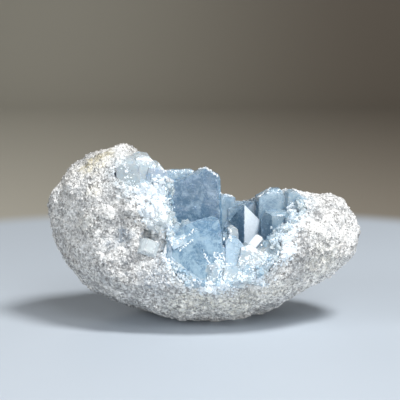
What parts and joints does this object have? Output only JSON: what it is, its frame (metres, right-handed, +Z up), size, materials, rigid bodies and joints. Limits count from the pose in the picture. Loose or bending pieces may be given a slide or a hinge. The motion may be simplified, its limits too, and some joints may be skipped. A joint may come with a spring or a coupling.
{
  "type": "celestite geode",
  "caption": "Broken half nodule of pale granular rock with a hollow full of blocky blue celestite crystals, resting on a small flat spot.",
  "frame": {"origin": "on the surface that the geode stands on, under the middle of its bounding box", "axes": "+Z up, +X along the nodule from the tall lobe to the low one, +Y away from the broken front that the hollow opens through"},
  "size_m": [0.1206, 0.0718, 0.0679],
  "materials": {
    "rock": "rough, granular and pitted, off-white with grey, beige and ochre patches",
    "celestite": "clear to cloudy pale blue crystal, glossy faces with frosted edges"
  },
  "bodies": {
    "root": {"rock_shell": "rock", "crystal_crust": "celestite"}
  },
  "joints": []
}
